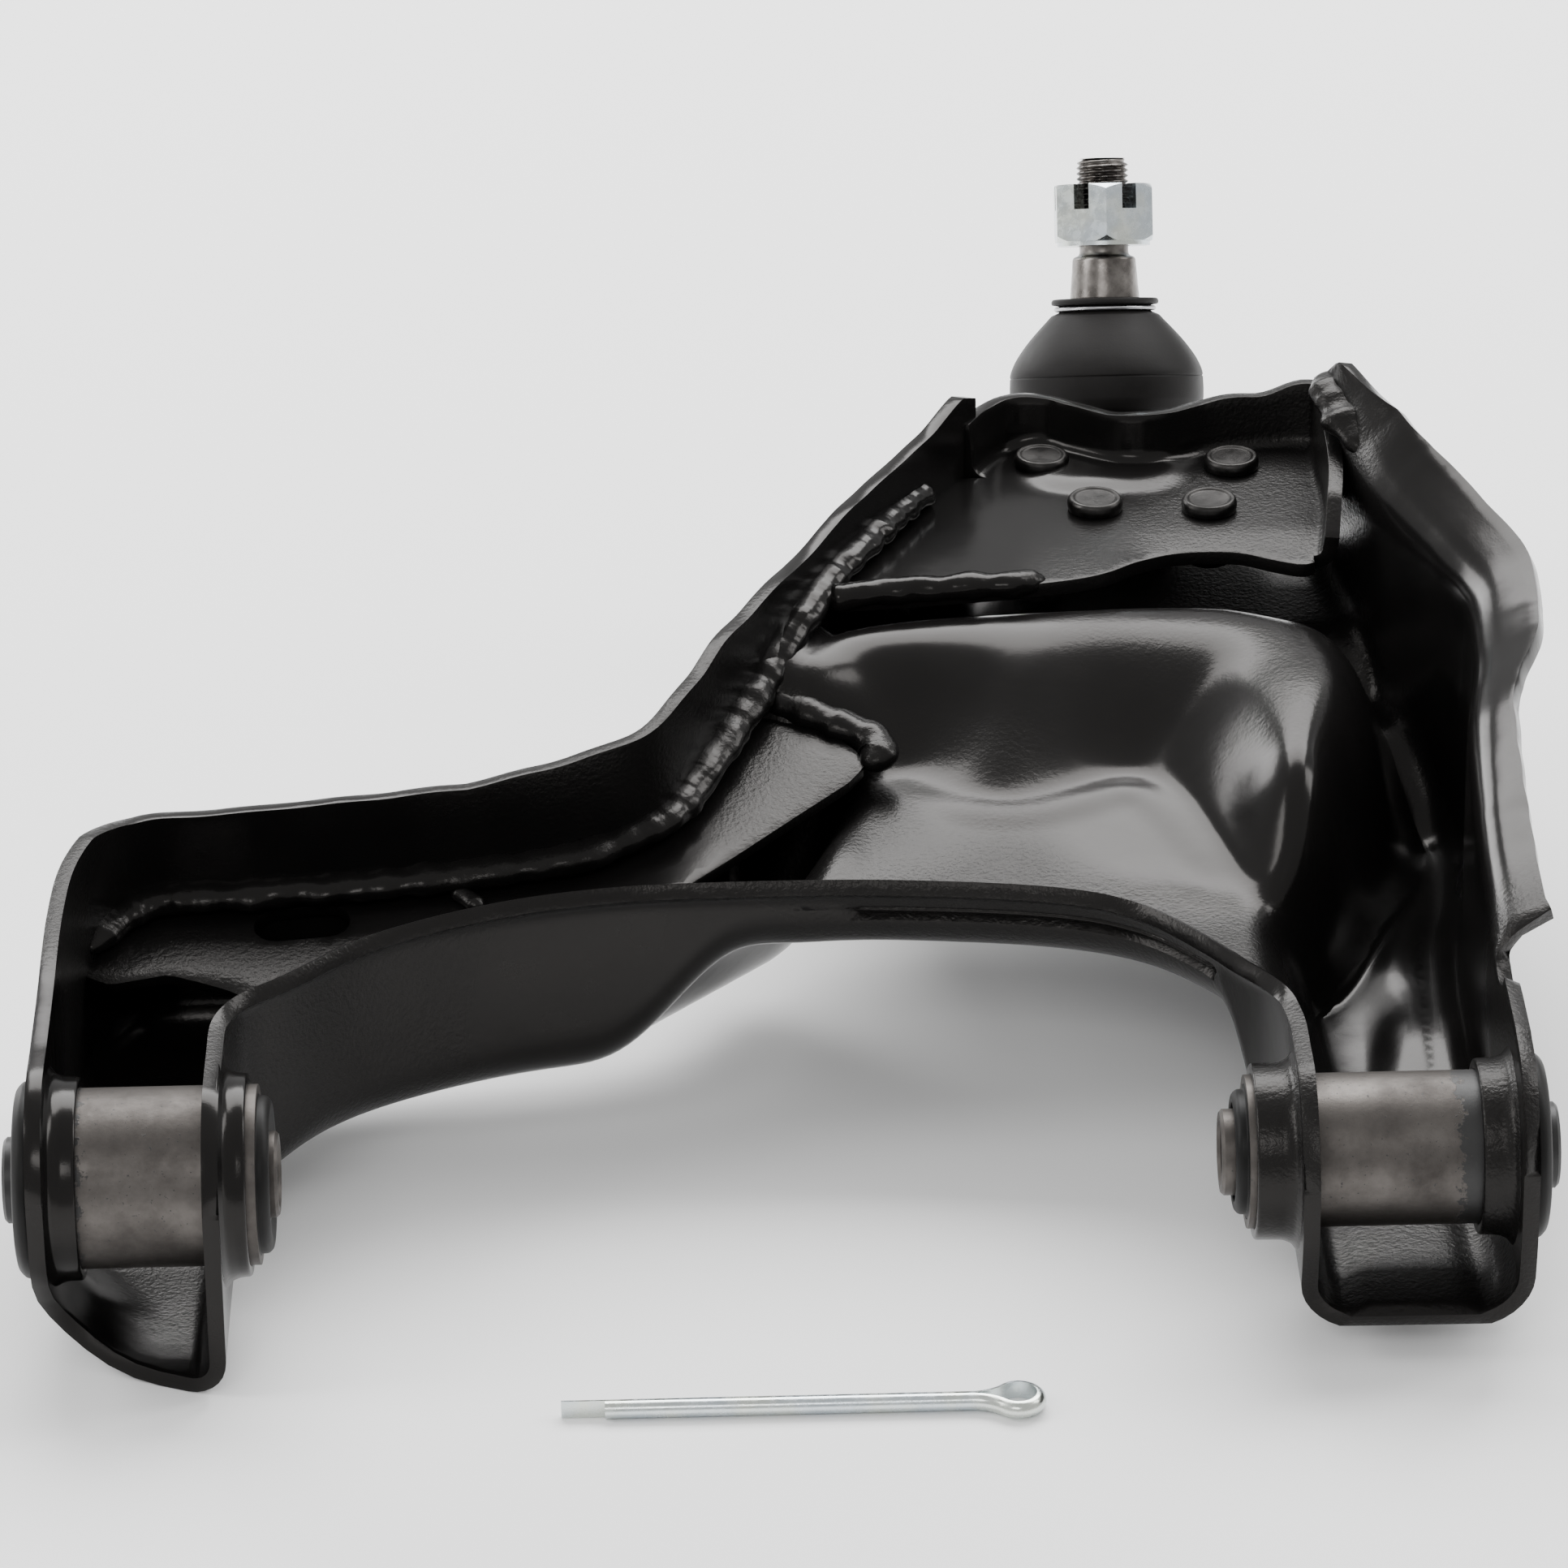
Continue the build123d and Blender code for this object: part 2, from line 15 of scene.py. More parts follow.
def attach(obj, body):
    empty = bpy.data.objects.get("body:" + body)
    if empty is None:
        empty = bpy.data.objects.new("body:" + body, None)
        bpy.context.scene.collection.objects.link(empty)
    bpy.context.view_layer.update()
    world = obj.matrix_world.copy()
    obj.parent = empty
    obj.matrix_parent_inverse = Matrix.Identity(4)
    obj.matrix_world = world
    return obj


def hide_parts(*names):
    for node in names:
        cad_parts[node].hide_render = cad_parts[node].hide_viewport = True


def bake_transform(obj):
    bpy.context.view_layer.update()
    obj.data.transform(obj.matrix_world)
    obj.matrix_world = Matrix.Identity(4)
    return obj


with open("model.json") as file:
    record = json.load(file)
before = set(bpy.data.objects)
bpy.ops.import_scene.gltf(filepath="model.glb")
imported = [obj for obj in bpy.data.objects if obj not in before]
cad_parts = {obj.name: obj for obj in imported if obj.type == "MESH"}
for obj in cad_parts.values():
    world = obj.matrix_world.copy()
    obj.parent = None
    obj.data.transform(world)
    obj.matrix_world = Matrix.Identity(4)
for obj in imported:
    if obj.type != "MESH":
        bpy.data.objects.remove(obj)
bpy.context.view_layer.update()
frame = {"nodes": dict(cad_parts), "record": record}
MM = 0.001

# ---- dimensions shared with the CAD part ----------------------------------------------
SHEET = 3.2
BRACKET_X = 144.4
INNER_LEFT_X = -110.6
INNER_RIGHT_X = 102.0
FRONT_Y = -24.0
BRACKET_FLOOR = -32.0
RIGHT_BRACKET_FLOOR = -26.5
LEG_FLOOR = -20.0
PLATE_TOP = 35.6
PLATE_TILT = math.radians(13)
GROUND = BRACKET_FLOOR - SHEET
LARGE_BORE_R = 17.7
SMALL_BORE_R = 15.1
BALL = np.array([82.0, 295.0, 15.0])
LEAN = math.radians(24.5)

# ---- camera ---------------------------------------------------------------------------
PITCH = math.radians(26.96)
YAW = math.radians(0.85)
ROLL = math.radians(0.9)
CAMERA_DISTANCE = 1.431
AIM_ABOVE_PIVOT = 0.0741
AIM_BESIDE_PIVOT = 0.0004
LENS = 167.7


def place_camera():
    """A long lens looking down at the arm from the front, over the pivot axis."""
    heading = Vector((math.sin(YAW), math.cos(YAW), 0))
    forward = heading * math.cos(PITCH) - Vector((0, 0, math.sin(PITCH)))
    level_right = Vector((math.cos(YAW), -math.sin(YAW), 0))
    level_up = level_right.cross(forward)
    right = level_right * math.cos(ROLL) - level_up * math.sin(ROLL)
    up = level_right * math.sin(ROLL) + level_up * math.cos(ROLL)
    data = bpy.data.cameras.new("camera")
    data.lens = LENS
    data.sensor_width = 36
    data.clip_end = 50
    camera = bpy.data.objects.new("camera", data)
    bpy.context.collection.objects.link(camera)
    aim = up * AIM_ABOVE_PIVOT + right * AIM_BESIDE_PIVOT
    turn = Matrix((right, up, -forward)).transposed().to_4x4()
    camera.matrix_world = Matrix.Translation(aim - forward * CAMERA_DISTANCE) @ turn
    bpy.context.scene.camera = camera


# ---- materials ------------------------------------------------------------------------
class Recipe:
    """A material's node tree, with short calls for the nodes used here."""

    def __init__(self, name):
        self.material = bpy.data.materials.new(name)
        self.material.use_nodes = True
        self.tree = self.material.node_tree
        self.shader = self.tree.nodes["Principled BSDF"]
        self.place = self.tree.nodes.new("ShaderNodeTexCoord").outputs["Object"]

    def link(self, source, target):
        self.tree.links.new(source, target)

    def set(self, **values):
        for key, value in values.items():
            self.shader.inputs[key.replace("_", " ")].default_value = value

    def noise(self, scale, detail=3.0, rough=0.5):
        node = self.tree.nodes.new("ShaderNodeTexNoise")
        node.inputs["Scale"].default_value = scale
        node.inputs["Detail"].default_value = detail
        node.inputs["Roughness"].default_value = rough
        self.link(self.place, node.inputs["Vector"])
        return node.outputs["Fac"]

    def ramp(self, source, low, high, at_low, at_high):
        node = self.tree.nodes.new("ShaderNodeMapRange")
        node.inputs["From Min"].default_value = low
        node.inputs["From Max"].default_value = high
        node.inputs["To Min"].default_value = at_low
        node.inputs["To Max"].default_value = at_high
        self.link(source, node.inputs["Value"])
        return node.outputs["Result"]

    def math(self, operation, first, second=0.0):
        node = self.tree.nodes.new("ShaderNodeMath")
        node.operation = operation
        for socket, value in zip(node.inputs, (first, second)):
            if isinstance(value, (int, float)):
                socket.default_value = value
            else:
                self.link(value, socket)
        return node.outputs["Value"]

    def colours(self, factor, dark, light):
        node = self.tree.nodes.new("ShaderNodeMix")
        node.data_type = "RGBA"
        node.inputs[6].default_value = (*dark, 1)
        node.inputs[7].default_value = (*light, 1)
        self.link(factor, node.inputs["Factor"])
        return node.outputs[2]

    def where(self, axis):
        node = self.tree.nodes.new("ShaderNodeSeparateXYZ")
        self.link(self.place, node.inputs["Vector"])
        return node.outputs[axis]

    def mix(self, factor, first, second):
        node = self.tree.nodes.new("ShaderNodeMix")
        node.data_type = "RGBA"
        self.link(factor, node.inputs["Factor"])
        self.link(first, node.inputs[6])
        self.link(second, node.inputs[7])
        return node.outputs[2]

    def bump(self, height, strength, distance):
        node = self.tree.nodes.new("ShaderNodeBump")
        node.inputs["Strength"].default_value = strength
        node.inputs["Distance"].default_value = distance
        self.link(height, node.inputs["Height"])
        self.link(node.outputs["Normal"], self.shader.inputs["Normal"])



def coat_colour(r):
    return r.colours(r.noise(70, 3), (0.0035, 0.0034, 0.0034), (0.0075, 0.007, 0.0068))


def black_coat(name):
    """Glossy black paint with patches of orange peel over slow waves."""
    r = Recipe(name)
    patch = r.ramp(r.noise(11, 2), 0.47, 0.6, 0, 1)
    peel = r.math("MULTIPLY", r.noise(1000, 2, 0.6), patch)
    height = r.math("ADD", peel, r.math("MULTIPLY", r.noise(130, 2), 0.35))
    height = r.math("ADD", height, r.math("MULTIPLY", r.noise(2600, 2), 0.06))
    r.link(coat_colour(r), r.shader.inputs["Base Color"])
    r.link(r.ramp(patch, 0, 1, 0.17, 0.33), r.shader.inputs["Roughness"])
    r.set(Specular_IOR_Level=0.2, Specular_Tint=(1.0, 0.955, 0.92, 1))
    r.bump(height, 0.36, 0.0005)
    return r.material


def bare_steel():
    """Turned bush steel, blotched, with the black coat running ragged onto its outboard ends."""
    r = Recipe("bare_steel")
    x = r.where("X")
    ragged = r.math("MULTIPLY", r.math("SUBTRACT", r.noise(420, 5, 0.7), 0.5), 0.012)
    spread = r.math("ADD", x, ragged)
    right = r.ramp(spread, 0.1316, 0.1322, 0, 1)
    left = r.ramp(spread, -0.1372, -0.1366, 1, 0)
    coated = r.math("MAXIMUM", right, left)
    specks = r.ramp(r.noise(1500, 2, 0.4), 0.70, 0.72, 0, 0.8)
    coated = r.math("MAXIMUM", coated, specks)
    blotch = r.noise(75, 5, 0.65)
    metal = r.colours(r.ramp(blotch, 0.3, 0.7, 0, 1), (0.052, 0.047, 0.044), (0.112, 0.103, 0.096))
    r.link(r.mix(coated, metal, coat_colour(r)), r.shader.inputs["Base Color"])
    r.link(r.math("SUBTRACT", 1.0, coated), r.shader.inputs["Metallic"])
    r.link(r.ramp(blotch, 0.3, 0.7, 0.55, 0.42), r.shader.inputs["Roughness"])
    grain = r.math("MULTIPLY", r.noise(900, 4, 0.7), 0.5)
    r.bump(r.math("ADD", grain, r.math("MULTIPLY", coated, 0.5)), 0.35, 0.0002)
    return r.material


def brushed(name, dark, light, rough, grain=900):
    """Metal with fine grain, cloudy tone and uneven polish."""
    r = Recipe(name)
    cloud = r.noise(140, 5, 0.65)
    r.link(r.colours(r.ramp(cloud, 0.3, 0.7, 0, 1), dark, light), r.shader.inputs["Base Color"])
    polish = r.ramp(r.noise(260, 4, 0.6), 0.3, 0.7, rough * 0.7, rough * 1.35)
    r.link(polish, r.shader.inputs["Roughness"])
    r.set(Metallic=1.0)
    r.bump(r.noise(grain, 4, 0.65), 0.25, 0.00012)
    return r.material


def zinc_plate():
    """Bright zinc with a faint blue and yellow passivation tint."""
    r = Recipe("zinc_plate")
    tint = r.mix(
        r.ramp(r.noise(90, 3), 0.42, 0.62, 0, 1),
        r.colours(r.noise(300, 4), (0.50, 0.56, 0.60), (0.66, 0.71, 0.74)),
        r.colours(r.noise(300, 4), (0.56, 0.60, 0.56), (0.72, 0.74, 0.68)),
    )
    r.link(tint, r.shader.inputs["Base Color"])
    r.link(r.ramp(r.noise(420, 4, 0.6), 0.3, 0.7, 0.16, 0.36), r.shader.inputs["Roughness"])
    r.set(Metallic=1.0)
    r.bump(r.noise(1300, 4, 0.6), 0.22, 0.0001)
    return r.material


def rubber(name, dark, light, roughness):
    """Moulded rubber: dull, slightly dusty, with a fine pebbled skin."""
    r = Recipe(name)
    dust = r.ramp(r.noise(55, 5, 0.6), 0.35, 0.75, 0, 1)
    r.link(r.colours(dust, dark, light), r.shader.inputs["Base Color"])
    r.link(r.ramp(dust, 0, 1, roughness * 0.8, roughness * 1.15), r.shader.inputs["Roughness"])
    r.set(Specular_IOR_Level=0.13)
    r.bump(r.noise(1900, 3, 0.6), 0.2, 0.00012)
    return r.material


def seat_plastic():
    r = Recipe("seat_plastic")
    cream = r.colours(r.noise(150, 3), (0.70, 0.67, 0.60), (0.80, 0.77, 0.70))
    r.link(cream, r.shader.inputs["Base Color"])
    r.link(r.ramp(r.noise(400, 3), 0.3, 0.7, 0.32, 0.45), r.shader.inputs["Roughness"])
    r.set(Subsurface_Weight=0.05)
    r.bump(r.noise(1400, 3), 0.1, 0.0001)
    return r.material


MATERIALS = {
    "black_coat": black_coat("black_coat"),
    "bare_steel": bare_steel(),
    "bush_rubber": rubber("bush_rubber", (0.006, 0.006, 0.006), (0.014, 0.0135, 0.013), 0.5),
    "forged_steel": black_coat("forged_steel"),
    "seat_plastic": seat_plastic(),
    "spring_steel": brushed("spring_steel", (0.30, 0.30, 0.31), (0.46, 0.46, 0.47), 0.3),
    "stud_steel": brushed("stud_steel", (0.065, 0.058, 0.054), (0.23, 0.215, 0.20), 0.3, 700),
    "boot_rubber": rubber("boot_rubber", (0.006, 0.0055, 0.0053), (0.014, 0.0128, 0.0124), 0.55),
    "zinc_plate": zinc_plate(),
    "rivet_steel": brushed(
        "rivet_steel", (0.018, 0.0172, 0.0165), (0.048, 0.046, 0.0445), 0.42, 600
    ),
}


# ---- mesh helpers ---------------------------------------------------------------------
def make_object(name, verts, faces, slot, body, replaced=(), sharp=None):
    """A smooth mesh from millimetre points, on its body, with its slot's material."""
    data = bpy.data.meshes.new(name)
    points = [tuple(v) for v in np.asarray(verts, float) * MM]
    data.from_pydata(points, [], [tuple(int(i) for i in f) for f in faces])
    data.validate()
    data.materials.append(MATERIALS[slot])
    mesh = bmesh.new()
    mesh.from_mesh(data)
    bmesh.ops.remove_doubles(mesh, verts=mesh.verts, dist=1e-6)
    loose = [v for v in mesh.verts if not v.link_faces]
    bmesh.ops.delete(mesh, geom=loose, context="VERTS")
    bmesh.ops.recalc_face_normals(mesh, faces=mesh.faces)
    mesh.to_mesh(data)
    mesh.free()
    data.shade_smooth()
    if sharp:
        data.set_sharp_from_angle(angle=math.radians(sharp))
    piece = bpy.data.objects.new(name, data)
    bpy.context.collection.objects.link(piece)
    if body:
        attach(piece, body)
    if replaced:
        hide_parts(*replaced)
    return piece


def apply_modifiers(piece):
    """Turn the piece's modifiers into plain mesh."""
    graph = bpy.context.evaluated_depsgraph_get()
    data = bpy.data.meshes.new_from_object(piece.evaluated_get(graph), depsgraph=graph)
    piece.modifiers.clear()
    old = piece.data
    piece.data = data
    bpy.data.meshes.remove(old)


def ease_edges(piece, width, angle=30, segments=2):
    bevel = piece.modifiers.new("edge", "BEVEL")
    bevel.width = width * MM
    bevel.segments = segments
    bevel.limit_method = "ANGLE"
    bevel.angle_limit = math.radians(angle)


def thicken(piece, thickness, edge=0.5):
    """Give a sheet mesh its thickness, half to each side, and ease its cut edges."""
    solid = piece.modifiers.new("thickness", "SOLIDIFY")
    solid.thickness = thickness * MM
    solid.offset = 0
    solid.use_quality_normals = True
    ease_edges(piece, edge, 55)
    apply_modifiers(piece)


def smoothstep(value, low, high):
    t = np.clip((value - low) / (high - low), 0, 1)
    return t * t * (3 - 2 * t)


def spaced(line, step):
    """The same line with points an even step apart."""
    line = np.array(line, float)
    run = np.concatenate([[0], np.cumsum(np.linalg.norm(np.diff(line, axis=0), axis=1))])
    at = np.linspace(0, run[-1], max(2, round(run[-1] / step)) + 1)
    return np.stack([np.interp(at, run, line[:, i]) for i in range(line.shape[1])], 1)


def flowing(points, step):
    """A smooth line through the points, evenly spaced."""
    p = np.array(points, float)
    p = np.vstack([2 * p[0] - p[1], p, 2 * p[-1] - p[-2]])
    dense = []
    for a, b, c, d in zip(p, p[1:], p[2:], p[3:]):
        for t in np.linspace(0, 1, 12, endpoint=False):
            ca, cb = (c - a) / 2, (d - b) / 2
            dense.append(
                b * (2 * t**3 - 3 * t**2 + 1) + ca * (t**3 - 2 * t**2 + t)
                + c * (3 * t**2 - 2 * t**3) + cb * (t**3 - t**2)
            )
    dense.append(p[-2])
    return spaced(dense, step)


def ripple(line, size, wavelength, seed):
    """Smooth random waviness along a line, as a hand-sheared or hand-laid edge has."""
    return np.array([
        size * noise.noise(Vector((p[0], p[1], seed * 17.3)) / wavelength) for p in line
    ])


def left_normals(line):
    """Unit normals on the left of a plan line."""
    along = np.gradient(line, axis=0)
    along /= np.linalg.norm(along, axis=1)[:, None]
    return np.stack([-along[:, 1], along[:, 0]], 1)


def held_inside(verts, wall):
    """Draw points that pass through the wall back to the middle of its sheet."""
    outward = left_normals(wall)
    for point in verts:
        near = np.argmin(np.linalg.norm(wall - point[:2], axis=1))
        over = (point[:2] - wall[near]) @ outward[near]
        point[:2] -= max(over, 0.0) * outward[near]
    return verts


def plan_distance(x, y, closed):
    """Signed distance to a closed plan line, negative inside."""
    points = np.column_stack([np.ravel(x), np.ravel(y)]).astype(float)
    inside = np.zeros(len(points), bool)
    near = np.full(len(points), 1e9)
    for a, b in zip(closed, np.roll(closed, -1, axis=0)):
        crosses = (a[1] > points[:, 1]) != (b[1] > points[:, 1])
        rise = b[1] - a[1] if b[1] != a[1] else 1e-12
        inside ^= crosses & (points[:, 0] < (b[0] - a[0]) * (points[:, 1] - a[1]) / rise + a[0])
        edge = b - a
        t = np.clip(((points - a) @ edge) / max(edge @ edge, 1e-12), 0, 1)
        near = np.minimum(near, np.linalg.norm(points - (a + t[:, None] * edge), axis=1))
    return np.where(inside, -near, near).reshape(np.shape(x))


def inside_outline(points, outline, margin):
    """Which points are inside a closed outline and clear of it by the margin."""
    return plan_distance(points[:, 0], points[:, 1], outline) < -margin


def pressing(runs, height, spacing, holes=()):
    """Sheet mesh for a pressing. Each run is a grid of wall points whose first row lies on the
    floor's outline, or a single row for a plain edge, and the floor between them follows
    height(x, y). Holes are closed plan lines."""
    verts, faces, loop = [], [], []
    for grid in runs:
        rows, count = grid.shape[:2]
        start = len(verts)
        verts.extend(grid.reshape(-1, 3))
        for r in range(rows - 1):
            for c in range(count - 1):
                a = start + r * count + c
                faces.append((a, a + 1, a + count + 1, a + count))
        for c in range(count):
            if not loop or np.linalg.norm(verts[loop[-1]][:2] - grid[0, c, :2]) > 0.05:
                loop.append(start + c)
    if np.linalg.norm(verts[loop[0]][:2] - verts[loop[-1]][:2]) < 0.05:
        loop.pop()
    outline = np.array([verts[i][:2] for i in loop])
    xs = np.arange(outline[:, 0].min(), outline[:, 0].max(), spacing)
    ys = np.arange(outline[:, 1].min(), outline[:, 1].max(), spacing * math.sqrt(3) / 2)
    grid = np.array([(x + (row % 2) * spacing / 2, y) for row, y in enumerate(ys) for x in xs])
    grid = grid[inside_outline(grid, outline, spacing * 0.6)]
    rims = [np.array(hole, float) for hole in holes]
    for rim in rims:
        grid = grid[~inside_outline(grid, rim, 0)]
        reach = np.linalg.norm(grid[:, None] - rim[None], axis=2).min(axis=1)
        grid = grid[reach > spacing * 0.5]
    points = [Vector(p) for p in np.vstack([outline, *rims, grid])]
    edges, first = [], 0
    for closed in [outline, *rims]:
        n = len(closed)
        edges += [(first + i, first + (i + 1) % n) for i in range(n)]
        first += n
    flat, _, triangles, original, _, _ = delaunay_2d_cdt(points, edges, [], 1, 1e-5)
    flat = np.array([tuple(point) for point in flat])
    levels = height(flat[:, 0], flat[:, 1])
    index = []
    for point, level, source in zip(flat, levels, original):
        known = [s for s in source if s < len(outline)]
        if known:
            index.append(loop[known[0]])
        else:
            index.append(len(verts))
            verts.append(np.array((point[0], point[1], level)))
    middles = np.array([flat[list(t)].mean(axis=0) for t in triangles])
    solid = inside_outline(middles, outline, 0)
    for rim in rims:
        solid &= ~inside_outline(middles, rim, 0)
    faces += [tuple(index[i] for i in t) for t, keep in zip(triangles, solid) if keep]
    return np.array(verts), faces


def ring_faces(rings, count, whole=True):
    """Quads between successive rings of points."""
    faces = []
    for i in range(rings - 1):
        for j in range(count if whole else count - 1):
            k = (j + 1) % count
            faces.append((i * count + j, i * count + k, (i + 1) * count + k, (i + 1) * count + j))
    return faces


def lathe(profile, place, turns=64, arc=2 * math.pi):
    """A turned surface from a run of (radius, height) points, each put in space by
    place(r, angle, h)."""
    profile = np.array(profile, float)
    whole = arc > 2 * math.pi - 1e-6
    angles = np.linspace(0, arc, turns + (0 if whole else 1), endpoint=not whole)
    verts = np.array([place(r, a, h) for r, h in profile for a in angles])
    return verts, ring_faces(len(profile), len(angles), whole)


def merged(*meshes):
    """Several (verts, faces) meshes as one."""
    verts, faces, start = [], [], 0
    for v, f in meshes:
        verts.append(np.asarray(v))
        faces += [tuple(i + start for i in face) for face in f]
        start += len(v)
    return np.vstack(verts), faces


def eased(points, radius, closed=False, parts=4):
    """A run of points with every corner rounded to about the radius."""
    points = [np.array(p, float) for p in points]
    n = len(points)
    out = []
    for i, corner in enumerate(points):
        if not closed and i in (0, n - 1):
            out.append(corner)
            continue
        before, after = points[i - 1], points[(i + 1) % n]
        a, b = before - corner, after - corner
        cut = min(radius, 0.45 * np.linalg.norm(a), 0.45 * np.linalg.norm(b))
        start = corner + a / np.linalg.norm(a) * cut
        stop = corner + b / np.linalg.norm(b) * cut
        for t in np.linspace(0, 1, parts + 1):
            out.append((1 - t) ** 2 * start + 2 * t * (1 - t) * corner + t * t * stop)
    if closed:
        out.append(out[0])
    return out


# ---- main shell -----------------------------------------------------------------------
# Plan lines of the middle of the sheet: the two outer walls and the inner wall round the arch.
OUTER_LEFT = [
    (-BRACKET_X, FRONT_Y), (-BRACKET_X, 20), (-BRACKET_X, 56), (-142.5, 76), (-137, 90),
    (-126, 97.6), (-103, 98.4), (-78, 101), (-56, 104), (-40, 107.5), (-23, 117), (-8, 147),
    (18, 198), (48, 249),
]
OUTER_RIGHT = [
    (127, 250), (128.5, 238), (134, 212), (145, 184), (151.5, 164), (151, 140), (147, 113),
    (145, 77), (BRACKET_X, 43), (BRACKET_X, 10), (BRACKET_X, FRONT_Y),
]
INNER = [
    (INNER_RIGHT_X, FRONT_Y), (INNER_RIGHT_X, 0), (101.5, 16), (97.5, 34), (89, 49), (75, 65),
    (57, 73), (25, 77.5), (-5, 78.3), (-33, 77), (-58, 71), (-82, 59), (-98, 44), (-107, 34),
    (-110.2, 22),
    (INNER_LEFT_X, 8), (INNER_LEFT_X, FRONT_Y),
]


def box_distance(x, y, centre, half, corner):
    """Signed distance to a rounded rectangle, negative inside."""
    qx = np.abs(x - centre[0]) - half[0] + corner
    qy = np.abs(y - centre[1]) - half[1] + corner
    outside = np.hypot(np.maximum(qx, 0), np.maximum(qy, 0))
    return outside + np.minimum(np.maximum(qx, qy), 0) - corner


def closed_line(points):
    return np.vstack([flowing(points, 3.0), [(points[-1][0], 50), (points[0][0], 50)]])


# The pressed pocket in plan: the crest of its ridge, the fold at the foot of the inner face, and
# the foot of the outer face.
CREST = closed_line([
    (5, 118), (6, 150), (13, 167), (28, 174.5), (63, 178), (96, 175), (108, 168), (113.5, 152),
    (113, 124), (111.5, 104), (110, 90),
])
FOLD = closed_line([
    (20, 104), (22, 138), (28, 146), (34, 140.5), (41, 132.5), (52, 129.5), (65, 134), (77, 139),
    (86, 131), (94, 113), (101, 92), (103, 82),
])
FOOT = closed_line([
    (-10, 118), (-7, 160), (2, 180), (25, 193), (63, 197), (104, 200), (130, 200), (142, 190),
    (144, 178), (140.5, 159), (136, 138), (129, 119), (120, 101), (110, 91), (104, 80),
])


def open_floor(x, y):
    """Height of the floor without its pocket: legs, bracket floors and the outboard nose."""
    across_leg = (x + 45) * 0.734 - (y - 74) * 0.679
    z = LEG_FLOOR + 26 * smoothstep(across_leg, -4, 20)
    z = z + (LEG_FLOOR - z) * smoothstep(x, 99, 112)
    z = z + (10 + (y - 205) * 0.1 - z) * smoothstep(y, 178, 214)
    bracket_floor = np.where(x < 0, BRACKET_FLOOR, RIGHT_BRACKET_FLOOR)
    z = z + (bracket_floor - z) * (1 - smoothstep(y, 18, 54))
    pad = box_distance(x, y, (123, 0), (14, 30), 8)
    return z + 3.2 * smoothstep(pad, 2.5, -2.5)


def bump_at(value, middle, width):
    """A smooth bump of height one."""
    return np.exp(-(((value - middle) / width) ** 2))


def drawn_height(x, y):
    """Height of the middle of the sheet over the floor, before the press radii ease it."""
    z = open_floor(x, y)

    # the pocket: a ridge that runs down into the basin towards its right end
    crest, fold, foot = (plan_distance(x, y, line) for line in (CREST, FOLD, FOOT))
    basin = 7 + 4.5 * smoothstep(y, 92, 140)
    full_top = 31.5 - 3 * smoothstep(y, 150, 112)
    top = basin + (full_top - basin) * smoothstep(y, 86, 120)
    inner = np.clip(fold / np.maximum(fold - crest, 1e-6), 0, 1)
    outer = np.clip(crest / np.maximum(crest - foot, 1e-6), 0, 1)
    outer = outer ** (1 + 0.9 * smoothstep(y, 118, 158))
    face = basin + (top - basin) * smoothstep(inner ** 0.9, -0.04, 1)
    side = top + (z - top) * smoothstep(outer, 0, 1)
    raised = np.where(crest > 0, side, np.where(fold < 0, basin, face))
    ends = smoothstep(y, 97, 118) * (1 - smoothstep(x, 40, 0) * (1 - smoothstep(y, 130, 160)))
    blend = np.maximum(ends, smoothstep(y, 78, 98) * smoothstep(x, 4, 24))
    z = z + (raised - z) * blend * smoothstep(foot, 0, -4)

    # the leg floor crowns towards its outboard side and dips beside the arch
    crown = bump_at(x, 131, 9.0) * smoothstep(y, 50, 84) * (1 - smoothstep(y, 150, 176))
    z = z + 3.4 * crown * smoothstep(foot, -3, 4)
    dip = bump_at(x - 0.25 * (y - 70), 122, 5.0)
    z = z - 2.0 * dip * smoothstep(y, 44, 66) * (1 - smoothstep(y, 86, 108))

    # a low roll along the fold
    roll = bump_at(fold, -3.2, 2.6) * smoothstep(x, 30, 44) * smoothstep(y, 96, 112)
    return z + 1.5 * roll - SHEET / 2


def floor_height(x, y):
    """Height of the middle of the sheet over the whole floor, with its press radii."""
    total = drawn_height(x, y)
    rings = ((2.0, 6), (4.0, 9))
    for ring, count in rings:
        for angle in np.linspace(0, 2 * math.pi, count, endpoint=False):
            total = total + drawn_height(x + ring * math.cos(angle), y + ring * math.sin(angle))
    return total / (1 + sum(count for _, count in rings))


